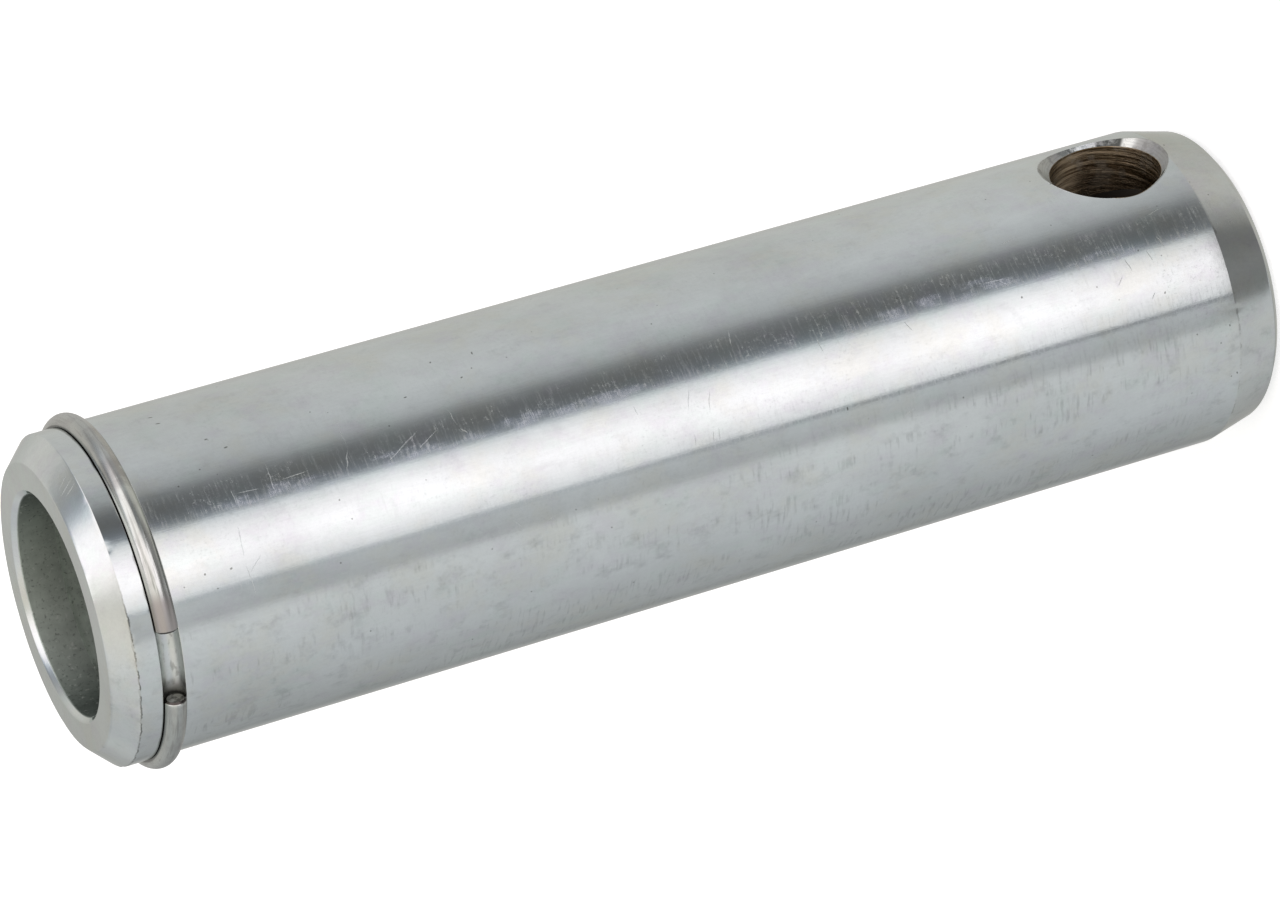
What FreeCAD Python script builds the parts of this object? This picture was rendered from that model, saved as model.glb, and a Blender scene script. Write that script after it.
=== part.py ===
import FreeCAD, Part
import math
import os
import Sketcher

# Hollow cross-drilled pin with a wire snap ring, in millimetres.
# The pin stands on its tapered end: Z runs up the bore from the tapered end to the ringed end,
# and X runs along the cross hole.

# Driving dimensions: alias, value, meaning
DIMENSIONS = (
    ("shank_diameter", 30.0, "outside of the pin"),
    ("wall_thickness", 5.0, "shank surface in to the bore"),
    ("pin_length", 115.0, "over both end faces"),
    ("end_chamfer", 2.0, "45 degree chamfer at the ringed end"),
    ("bore_chamfer", 0.5, "45 degree chamfer at each mouth of the bore"),
    ("lead_in_length", 5.1, "height of the tapered end"),
    ("lead_in_angle", 14.0, "slope of the taper from the axis"),
    ("nose_chamfer", 0.8, "break where the taper runs into the end face"),
    ("groove_setback", 5.1, "middle of the ring groove from the ringed end"),
    ("groove_depth", 1.0, "shank surface down to the groove's floor"),
    ("groove_slack", 0.05, "groove radius over the wire's radius"),
    ("wire_diameter", 2.0, "spring wire of the ring"),
    ("ring_clearance", 0.03, "wire above the groove's floor"),
    ("ring_side_shift", 0.02, "ring off the middle of its groove, away from the ringed end"),
    ("ring_gap_angle", 25.5, "opening between the ring's cut ends"),
    ("wire_end_chamfer", 0.2, "break round the cut ends"),
    ("ring_turn_angle", 4.4, "ring turned in its groove from square to the cross hole"),
    ("cross_hole_diameter", 10.2, "hole through both walls"),
    ("cross_hole_margin", 0.65, "straight shank left between the taper and the hole"),
    ("countersink_diameter", 12.3, "across the countersink, level with the crown of the shank"),
    ("countersink_angle", 90.0, "full angle of the countersink's cone"),
    ("countersink_wander", 0.3, "countersink beside the hole's axis, as a hand-held tool left it"),
    ("countersink_rise", 0.15, "countersink above the hole's axis"),
    ("cutter_overrun", 2.0, "countersink's cone drawn past the crown, so that it clears the shank"),
)

# Two lengths closer than this are the same length
TOLERANCE = 1e-4


def fill_sheet(doc):
    """Write the driving dimensions, one to a row, with the alias in front and the meaning behind."""
    sheet = doc.addObject("Spreadsheet::Sheet", "Dimensions")
    for row, (alias, value, meaning) in enumerate(DIMENSIONS, start=1):
        sheet.set("A%d" % row, alias)
        sheet.set("B%d" % row, str(value))
        sheet.set("C%d" % row, meaning)
        sheet.setAlias("B%d" % row, alias)
    doc.recompute()
    return sheet


def cell(alias):
    """Expression that reads one driving dimension."""
    return "<<Dimensions>>.%s" % alias


def new_body(doc, name):
    """Start an empty piece whose label is the piece's name."""
    body = doc.addObject("PartDesign::Body", name)
    body.Label = name
    return body


def origin_plane(body, role):
    """One of the body's own origin planes."""
    return next(item for item in body.Origin.OriginFeatures if item.Role == role)


def sketch_on(body, role, name):
    """Start a sketch on one of the body's own origin planes."""
    sketch = body.newObject("Sketcher::SketchObject", name)
    sketch.AttachmentSupport = [(origin_plane(body, role), "")]
    sketch.MapMode = "FlatFace"
    return sketch


def start_of(line):
    """The start point of a line, as a constraint names it."""
    return (line, 1)


def end_of(line):
    """The end point of a line, as a constraint names it."""
    return (line, 2)


def centre_of(circle):
    """The centre of a circle, as a constraint names it."""
    return (circle, 3)


def sketch_origin():
    """The origin of a sketch, which is the start point of its own X axis."""
    return (-1, 1)


def constrain(sketch, expression, kind, *where):
    """Add a sized constraint and bind it to an expression."""
    index = sketch.addConstraint(Sketcher.Constraint(kind, *where, 1.0))
    sketch.renameConstraint(index, "size_%d" % index)
    sketch.setExpression("Constraints.size_%d" % index, expression)


def outline(sketch, corners):
    """Draw a closed outline through rough corner points, and tie each line to the next."""
    lines = []
    for start, end in zip(corners, corners[1:] + corners[:1]):
        segment = Part.LineSegment(FreeCAD.Vector(*start, 0), FreeCAD.Vector(*end, 0))
        lines.append(sketch.addGeometry(segment, False))
    for line, following in zip(lines, lines[1:] + lines[:1]):
        sketch.addConstraint(Sketcher.Constraint("Coincident", *end_of(line), *start_of(following)))
    return lines


def circle_at(sketch, centre, radius, expressions):
    """Draw a circle whose radius and centre are bound to expressions; no first one keeps it on the axis."""
    shape = Part.Circle(FreeCAD.Vector(*centre, 0), FreeCAD.Vector(0, 0, 1), radius)
    circle = sketch.addGeometry(shape, False)
    radius_text, across_text, up_text = expressions
    constrain(sketch, radius_text, "Radius", circle)
    if across_text is None:
        vertical_axis = -2
        sketch.addConstraint(Sketcher.Constraint("PointOnObject", *centre_of(circle), vertical_axis))
    else:
        constrain(sketch, across_text, "DistanceX", *sketch_origin(), *centre_of(circle))
    constrain(sketch, up_text, "DistanceY", *sketch_origin(), *centre_of(circle))


def turn(body, kind, sketch, name):
    """Turn a sketch right round the pin's axis, adding or cutting material."""
    feature = body.newObject("PartDesign::" + kind, name)
    feature.Profile = (sketch, [""])
    feature.ReferenceAxis = (sketch, ["V_Axis"])
    feature.Angle = 360.0
    body.Document.recompute()
    return feature


def edges_where(shape, wanted):
    """Names of the edges that pass a test."""
    return ["Edge%d" % number for number, edge in enumerate(shape.Edges, start=1) if wanted(edge)]


def is_rim(radius, height):
    """Test for a circle of this radius round the pin's axis at this height."""
    def wanted(edge):
        curve = edge.Curve
        if not isinstance(curve, Part.Circle):
            return False
        same_radius = abs(curve.Radius - radius) < TOLERANCE
        same_height = abs(curve.Center.z - height) < TOLERANCE
        centred = math.hypot(curve.Center.x, curve.Center.y) < TOLERANCE
        return same_radius and same_height and centred
    return wanted


def chamfer(body, name, wanted, expression):
    """Cut equal chamfers along the edges of the body's latest shape that pass a test."""
    base = body.Tip
    feature = body.newObject("PartDesign::Chamfer", name)
    feature.Base = (base, edges_where(base.Shape, wanted))
    feature.setExpression("Size", expression)
    body.Document.recompute()
    return feature


def hole_height_text():
    """Height of the cross hole's axis: past the taper, the margin and half the hole."""
    return "%s + %s + %s / 2" % (
        cell("lead_in_length"),
        cell("cross_hole_margin"),
        cell("cross_hole_diameter"),
    )


def countersink_both_mouths(body):
    """Cone out both mouths of the cross hole, a little off the hole's own axis."""
    cone = body.newObject("PartDesign::SubtractiveCone", "Countersink")
    cone.AttachmentSupport = [(origin_plane(body, "YZ_Plane"), "")]
    cone.MapMode = "FlatFace"

    # The cone's point lies inside the bore, and its base stands clear of the shank
    half_angle = "(%s / 2 * 1 deg)" % cell("countersink_angle")
    depth = "%s / 2 / tan%s" % (cell("countersink_diameter"), half_angle)
    cone.setExpression("AttachmentOffset.Base.x", cell("countersink_wander"))
    cone_height = "%s + %s" % (hole_height_text(), cell("countersink_rise"))
    cone.setExpression("AttachmentOffset.Base.y", cone_height)
    cone.setExpression("AttachmentOffset.Base.z", "%s / 2 - %s" % (cell("shank_diameter"), depth))
    cone.Radius1 = 0.0
    reach_text = "%s + %s" % (depth, cell("cutter_overrun"))
    cone.setExpression("Radius2", "(%s) * tan%s" % (reach_text, half_angle))
    cone.setExpression("Height", reach_text)
    body.Document.recompute()

    both = body.newObject("PartDesign::Mirrored", "OppositeCountersink")
    both.Originals = [cone]
    both.MirrorPlane = (origin_plane(body, "YZ_Plane"), [""])
    body.Tip = both
    body.Document.recompute()


def build_pin_body(doc, sheet):
    """The pin: a turned tube, grooved, cross-drilled and broken at its edges."""
    body = new_body(doc, "pin_body")
    shank_radius = float(sheet.shank_diameter) / 2
    bore_radius = shank_radius - float(sheet.wall_thickness)
    length = float(sheet.pin_length)
    lead_in = float(sheet.lead_in_length)
    drop = lead_in * math.tan(math.radians(float(sheet.lead_in_angle)))

    # Half section of the tube, with the lead-in taper at the bottom
    section = sketch_on(body, "YZ_Plane", "TubeSection")
    corners = [
        (bore_radius, 0),
        (shank_radius - drop, 0),
        (shank_radius, lead_in),
        (shank_radius, length),
        (bore_radius, length),
    ]
    nose_face, taper, shank, end_face, bore = outline(section, corners)
    for line in (nose_face, end_face):
        section.addConstraint(Sketcher.Constraint("Horizontal", line))
    for line in (shank, bore):
        section.addConstraint(Sketcher.Constraint("Vertical", line))
    horizontal_axis = -1
    section.addConstraint(Sketcher.Constraint("PointOnObject", *start_of(nose_face), horizontal_axis))
    taper_drop = "%s * tan(%s * 1 deg)" % (cell("lead_in_length"), cell("lead_in_angle"))
    bore_text = "%s / 2 - %s" % (cell("shank_diameter"), cell("wall_thickness"))
    constrain(section, bore_text, "DistanceX", *sketch_origin(), *start_of(nose_face))
    constrain(section, cell("shank_diameter") + " / 2", "DistanceX", *sketch_origin(), *start_of(shank))
    constrain(section, taper_drop, "DistanceX", *start_of(taper), *end_of(taper))
    constrain(section, cell("lead_in_length"), "DistanceY", *start_of(taper), *end_of(taper))
    constrain(section, cell("pin_length"), "DistanceY", *sketch_origin(), *start_of(end_face))
    doc.recompute()
    turn(body, "Revolution", section, "Tube")

    # Breaks of the two ends' outer edges and of the bore's two mouths
    chamfer(body, "NoseChamfer", is_rim(shank_radius - drop, 0), cell("nose_chamfer"))
    chamfer(body, "EndChamfer", is_rim(shank_radius, length), cell("end_chamfer"))
    for name, height in (("LowerBoreChamfer", 0), ("UpperBoreChamfer", length)):
        chamfer(body, name, is_rim(bore_radius, height), cell("bore_chamfer"))

    # Half-round groove: a circle a little larger than the wire, resting on the groove's floor
    groove_section = sketch_on(body, "YZ_Plane", "GrooveSection")
    groove_radius = float(sheet.wire_diameter) / 2 + float(sheet.groove_slack)
    floor_radius = shank_radius - float(sheet.groove_depth)
    groove_height = length - float(sheet.groove_setback)
    groove_radius_text = "%s / 2 + %s" % (cell("wire_diameter"), cell("groove_slack"))
    floor_text = "%s / 2 - %s" % (cell("shank_diameter"), cell("groove_depth"))
    groove_texts = (
        groove_radius_text,
        "%s + %s" % (floor_text, groove_radius_text),
        "%s - %s" % (cell("pin_length"), cell("groove_setback")),
    )
    circle_at(groove_section, (floor_radius + groove_radius, groove_height), groove_radius, groove_texts)
    doc.recompute()
    turn(body, "Groove", groove_section, "RingGroove")

    # Cross hole through both walls
    hole_section = sketch_on(body, "YZ_Plane", "CrossHoleSection")
    hole_radius = float(sheet.cross_hole_diameter) / 2
    hole_height = lead_in + float(sheet.cross_hole_margin) + hole_radius
    hole_texts = (cell("cross_hole_diameter") + " / 2", None, hole_height_text())
    circle_at(hole_section, (0, hole_height), hole_radius, hole_texts)
    doc.recompute()
    hole = body.newObject("PartDesign::Pocket", "CrossHole")
    hole.Profile = (hole_section, [""])
    hole.Type = "ThroughAll"
    hole.SideType = "Symmetric"
    doc.recompute()
    countersink_both_mouths(body)
    return body


def build_snap_ring(doc, sheet):
    """The ring: round wire bent round the groove, open opposite the profile it is turned from."""
    body = new_body(doc, "snap_ring")
    wire_radius = float(sheet.wire_diameter) / 2
    floor_radius = float(sheet.shank_diameter) / 2 - float(sheet.groove_depth)
    centre_radius = floor_radius + float(sheet.ring_clearance) + wire_radius
    ring_height = float(sheet.pin_length) - float(sheet.groove_setback) - float(sheet.ring_side_shift)

    section = sketch_on(body, "YZ_Plane", "WireSection")
    floor_text = "%s / 2 - %s" % (cell("shank_diameter"), cell("groove_depth"))
    wire_texts = (
        cell("wire_diameter") + " / 2",
        "%s + %s + %s / 2" % (floor_text, cell("ring_clearance"), cell("wire_diameter")),
        "%s - %s - %s" % (cell("pin_length"), cell("groove_setback"), cell("ring_side_shift")),
    )
    circle_at(section, (centre_radius, ring_height), wire_radius, wire_texts)
    doc.recompute()
    ring = turn(body, "Revolution", section, "BentWire")
    ring.Midplane = True
    ring.setExpression("Angle", "360 - " + cell("ring_gap_angle"))
    doc.recompute()

    def cut_end(edge):
        """Test for the rim of a cut end: the only circles as small as the wire."""
        curve = edge.Curve
        return isinstance(curve, Part.Circle) and abs(curve.Radius - wire_radius) < TOLERANCE

    chamfer(body, "CutEnds", cut_end, cell("wire_end_chamfer"))
    body.Placement = FreeCAD.Placement(FreeCAD.Vector(0, 0, 0), FreeCAD.Rotation(FreeCAD.Vector(0, 0, 1), 1))
    body.setExpression("Placement.Rotation.Angle", cell("ring_turn_angle") + " * 1 deg")
    doc.recompute()
    return body


def check(doc, bodies):
    """Stop if any object failed, or if any piece isn't one sound solid."""
    for item in doc.Objects:
        if "Invalid" in item.State or "Error" in item.State:
            raise RuntimeError("%s did not compute: %s" % (item.Name, item.State))
    for body in bodies:
        shape = body.Shape
        if shape.isNull() or not shape.isValid() or len(shape.Solids) != 1:
            raise RuntimeError("%s is not one sound solid" % body.Label)
        box = shape.optimalBoundingBox()
        extent = (box.XMin, box.XMax, box.YMin, box.YMax, box.ZMin, box.ZMax)
        print(body.Label, "volume %.1f" % shape.Volume, "box", ["%.3f" % value for value in extent])


def main():
    doc = FreeCAD.newDocument("CrossDrilledPin")
    sheet = fill_sheet(doc)
    bodies = [build_pin_body(doc, sheet), build_snap_ring(doc, sheet)]
    doc.recompute()
    check(doc, bodies)
    os.makedirs("parts", exist_ok=True)
    for body in bodies:
        body.Shape.exportStep("parts/%s.step" % body.Label)


main()
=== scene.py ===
"""Looks of the hollow cross-drilled pin and its wire snap ring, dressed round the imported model."""

from __future__ import annotations

import logging
import math
from dataclasses import dataclass
from enum import Enum
from typing import Sequence, Union

import bpy
import numpy as np
from mathutils import Matrix, Vector, noise


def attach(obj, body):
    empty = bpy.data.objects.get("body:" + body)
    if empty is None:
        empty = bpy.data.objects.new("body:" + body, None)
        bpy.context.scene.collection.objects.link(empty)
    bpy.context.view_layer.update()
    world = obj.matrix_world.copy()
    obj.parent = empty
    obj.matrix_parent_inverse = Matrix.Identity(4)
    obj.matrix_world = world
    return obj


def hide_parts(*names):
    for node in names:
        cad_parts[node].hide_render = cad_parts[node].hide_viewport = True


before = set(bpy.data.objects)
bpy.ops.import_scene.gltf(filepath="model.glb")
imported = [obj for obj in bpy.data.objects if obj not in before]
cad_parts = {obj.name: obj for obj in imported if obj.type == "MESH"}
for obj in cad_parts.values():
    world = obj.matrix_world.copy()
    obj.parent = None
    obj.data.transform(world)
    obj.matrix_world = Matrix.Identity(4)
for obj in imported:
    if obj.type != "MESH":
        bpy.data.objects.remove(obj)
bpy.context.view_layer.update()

LOG = logging.getLogger("pin")
MM = 0.001
FULL_TURN = 2 * math.pi
DEGREES = 180 / math.pi
PHOTO_SIDE = math.radians(-55.0)

Rgb = tuple[float, float, float]
Stop = tuple[float, float, float]
Line = tuple[float, float, float, float]
Weights = tuple[tuple[str, float], ...]
Value = Union["Signal", float, Sequence[float]]
Masks = dict[str, "Signal"]


class Slot(Enum):
    """Material slots of the record that a piece can take its finish from."""

    PLATE = "zinc_plated_steel"
    WIRE = "spring_wire"


class Signal:
    """A shader socket that takes part in ordinary Python expressions."""

    def __init__(self, bench: "Bench", socket: bpy.types.NodeSocket) -> None:
        """Wrap one output socket.

        Args:
            bench: The bench whose tree holds the socket.
            socket: The output socket.
        """
        self.bench = bench
        self.socket = socket

    def _math(self, operation: str, first: Value, second: Value = 0.0) -> "Signal":
        """Add a Math node.

        Args:
            operation: The node's operation.
            first: The first number.
            second: The second number.

        Returns:
            The node's result.
        """
        return self.bench.add("ShaderNodeMath", {"operation": operation}, {0: first, 1: second})

    def __add__(self, other: Value) -> "Signal":
        """Sum of the two."""
        return self._math("ADD", self, other)

    def __radd__(self, other: Value) -> "Signal":
        """Sum of the two."""
        return self._math("ADD", other, self)

    def __sub__(self, other: Value) -> "Signal":
        """This less the other."""
        return self._math("SUBTRACT", self, other)

    def __rsub__(self, other: Value) -> "Signal":
        """The other less this."""
        return self._math("SUBTRACT", other, self)

    def __mul__(self, other: Value) -> "Signal":
        """Product of the two."""
        return self._math("MULTIPLY", self, other)

    def __rmul__(self, other: Value) -> "Signal":
        """Product of the two."""
        return self._math("MULTIPLY", other, self)

    def __truediv__(self, other: Value) -> "Signal":
        """This over the other."""
        return self._math("DIVIDE", self, other)

    def __rtruediv__(self, other: Value) -> "Signal":
        """The other over this."""
        return self._math("DIVIDE", other, self)

    def __abs__(self) -> "Signal":
        """Distance from nought."""
        return self._math("ABSOLUTE", self)

    def fraction(self) -> "Signal":
        """What is left above the whole number."""
        return self._math("FRACT", self)

    def larger(self, other: Value) -> "Signal":
        """The larger of the two."""
        return self._math("MAXIMUM", self, other)

    def rises(self, low: float, high: float) -> "Signal":
        """Soft step.

        Args:
            low: Where the step leaves 0.
            high: Where it arrives at 1.

        Returns:
            A number from 0 to 1.
        """
        settings = {"interpolation_type": "SMOOTHSTEP"}
        ends = {"Value": self, "From Min": low, "From Max": high}
        return self.bench.add("ShaderNodeMapRange", settings, ends)

    def falls(self, low: float, high: float) -> "Signal":
        """Soft step down, from 1 at low to 0 at high."""
        return 1.0 - self.rises(low, high)

    def near(self, middle: float, reach: float, edge: float) -> "Signal":
        """1 within reach of a middle, fading to 0 over an edge."""
        return abs(self - middle).falls(reach, reach + edge)


class Bench:
    """Builds one node tree."""

    def __init__(self, tree: bpy.types.NodeTree) -> None:
        """Clear a tree and take it over."""
        self.tree = tree
        tree.nodes.clear()

    @classmethod
    def of_material(cls, name: str) -> tuple[bpy.types.Material, "Bench"]:
        """Make a material, and the bench of its tree."""
        material = bpy.data.materials.new(name)
        material.use_nodes = True
        return material, cls(material.node_tree)

    def add(
        self,
        kind: str,
        settings: dict[str, object] | None = None,
        inputs: dict[int | str, Value] | None = None,
        output: int | str = 0,
    ) -> Signal:
        """Add one node.

        Args:
            kind: The node's type.
            settings: Its own settings, with the stops of a ramp under "stops".
            inputs: A value or a signal for each of its sockets, by name or number.
            output: The output socket that is wanted.

        Returns:
            That output as a signal.
        """
        node = self.tree.nodes.new(kind)
        for name, value in (settings or {}).items():
            if name == "stops":
                self._set_stops(node.color_ramp, value)
            else:
                setattr(node, name, value)
        for place, value in (inputs or {}).items():
            socket = node.inputs[place]
            if isinstance(value, Signal):
                self.tree.links.new(value.socket, socket)
            else:
                socket.default_value = value
        return Signal(self, node.outputs[output] if node.outputs else None)

    @staticmethod
    def _set_stops(ramp: bpy.types.ColorRamp, stops: Sequence[tuple[float, Rgb]]) -> None:
        """Fill a colour ramp.

        Args:
            ramp: The ramp.
            stops: Position and colour of each stop, in order.
        """
        while len(ramp.elements) < len(stops):
            ramp.elements.new(1.0)
        for element, (position, colour) in zip(ramp.elements, stops):
            element.position = position
            element.color = (*colour, 1.0)

    def vector(self, operation: str, first: Value, second: Value = (0.0, 0.0, 0.0)) -> Signal:
        """Vector Math node with a vector result."""
        return self.add("ShaderNodeVectorMath", {"operation": operation}, {0: first, 1: second})

    def dot(self, first: Value, second: Value) -> Signal:
        """Dot product of two vectors."""
        settings = {"operation": "DOT_PRODUCT"}
        return self.add("ShaderNodeVectorMath", settings, {0: first, 1: second}, "Value")

    def length(self, vector: Value) -> Signal:
        """Length of a vector."""
        return self.add("ShaderNodeVectorMath", {"operation": "LENGTH"}, {0: vector}, "Value")

    def angle(self, up: Value, across: Value) -> Signal:
        """Direction of two distances, in radians."""
        return self.add("ShaderNodeMath", {"operation": "ARCTAN2"}, {0: up, 1: across})

    def scaled(self, vector: Value, factor: Value) -> Signal:
        """A vector or colour times a number."""
        return self.add("ShaderNodeVectorMath", {"operation": "SCALE"}, {0: vector, "Scale": factor})

    def combine(self, x: Value, y: Value, z: Value) -> Signal:
        """Vector of three numbers."""
        return self.add("ShaderNodeCombineXYZ", None, {0: x, 1: y, 2: z})

    def split(self, vector: Value) -> tuple[Signal, Signal, Signal]:
        """The three numbers of a vector."""
        first = self.add("ShaderNodeSeparateXYZ", None, {0: vector})
        outputs = first.socket.node.outputs
        return first, Signal(self, outputs[1]), Signal(self, outputs[2])

    def mix(self, factor: Value, first: Value, second: Value, blend: str = "MIX") -> Signal:
        """Mix of two colours.

        Args:
            factor: Share of the second colour.
            first: The colour at 0.
            second: The colour at 1.
            blend: How the second is laid on the first.

        Returns:
            The mixed colour.
        """
        colours = [v if isinstance(v, Signal) else (*v, 1.0) for v in (first, second)]
        settings = {"data_type": "RGBA", "blend_type": blend}
        return self.add("ShaderNodeMix", settings, {0: factor, 6: colours[0], 7: colours[1]}, 2)

    def noise(self, where: Signal, scale: float, detail: float = 2.0, rough: float = 0.5) -> Signal:
        """Cloudy noise from 0 to 1.

        Args:
            where: The point, in millimetres.
            scale: Clouds to the millimetre.
            detail: Octaves of finer noise.
            rough: Strength of the finer octaves.

        Returns:
            The noise's value.
        """
        inputs = {"Vector": where, "Scale": scale, "Detail": detail, "Roughness": rough}
        return self.add("ShaderNodeTexNoise", None, inputs)

    def for_camera(self, others: Signal, camera: Signal) -> Signal:
        """Show the camera one shader and everything else another."""
        seen = self.add("ShaderNodeLightPath", None, None, "Is Camera Ray")
        return self.add("ShaderNodeMixShader", None, {0: seen, 1: others, 2: camera})

    def metal(self, tone: Value, rough: Value, height: Value, tint: Rgb = (1.0, 1.0, 1.0)) -> None:
        """Lay bare metal on the surface.

        Args:
            tone: Its colour.
            rough: Its roughness.
            height: Height of its marks, in millimetres.
            tint: Colour of its glancing reflections.
        """
        bump = {"Strength": 1.0, "Distance": MM, "Height": height}
        inputs = {
            "Base Color": tone,
            "Metallic": 1.0,
            "Roughness": rough,
            "Specular Tint": (*tint, 1.0),
            "Normal": self.add("ShaderNodeBump", None, bump, "Normal"),
        }
        shader = self.add("ShaderNodeBsdfPrincipled", None, inputs)
        self.add("ShaderNodeOutputMaterial", None, {"Surface": shader})


def weighed(start: Value, masks: Masks, weights: Weights) -> Signal:
    """Add masks to a number.

    Args:
        start: The number.
        masks: The masks by name.
        weights: Name and weight of each mask that is added.

    Returns:
        The sum.
    """
    total = start
    for name, weight in weights:
        total = masks[name] * weight + total
    return total


def linear(level: float) -> float:
    """Light that a display shows at a level from 0 to 1."""
    return ((level + 0.055) / 1.055) ** 2.4


def circle(count: int) -> list[tuple[float, float]]:
    """Cosine and sine of evenly spaced directions."""
    angles = [FULL_TURN * place / count for place in range(count)]
    return [(math.cos(angle), math.sin(angle)) for angle in angles]


@dataclass(frozen=True)
class PhotoCamera:
    """The camera, as solved from the outlines in the photograph, in pixels of a 1280 by 900 picture."""

    focal: float = 5682.5
    width: float = 1280.0
    height: float = 900.0
    scale: float = 173.42
    end_x: float = 54.55
    end_y: float = 607.08
    tilt: float = 1.2149
    swing: float = 0.2826
    roll: float = math.radians(125.0)
    radius: float = 15.0 * MM
    length: float = 115.0 * MM
    sensor: float = 36.0

    def build(self) -> bpy.types.Object:
        """Make the camera and hand the scene to it.

        Returns:
            The camera object.
        """
        along = Vector((
            math.sin(self.tilt) * math.cos(self.swing),
            -math.sin(self.tilt) * math.sin(self.swing),
            math.cos(self.tilt),
        ))
        away = Vector((0.0, 0.0, 1.0))
        level = (away - along * away.dot(along)).normalized()
        side = along.cross(level)
        depth = self.focal / self.scale
        ring_end = Vector((
            (self.end_x - self.width / 2) / self.scale,
            (self.end_y - self.height / 2) / self.scale,
            depth,
        ))
        origin = (ring_end + along * (self.length / self.radius)) * self.radius
        axis_z = -along
        axis_x = math.cos(self.roll) * level + math.sin(self.roll) * side
        axis_y = axis_z.cross(axis_x)
        rows = (axis_x, axis_y, axis_z)
        place = Matrix.Identity(4)
        for row, axis in enumerate(rows):
            place[row][0] = axis.x
            place[row][1] = -axis.y
            place[row][2] = -axis.z
            place[row][3] = -axis.dot(origin)
        data = bpy.data.cameras.new("camera")
        data.sensor_width = self.sensor
        data.lens = self.focal / self.width * self.sensor
        data.clip_start = 0.01
        data.clip_end = 20.0
        camera = bpy.data.objects.new("camera", data)
        camera.matrix_world = place
        bpy.context.scene.collection.objects.link(camera)
        bpy.context.scene.camera = camera
        return camera


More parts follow.
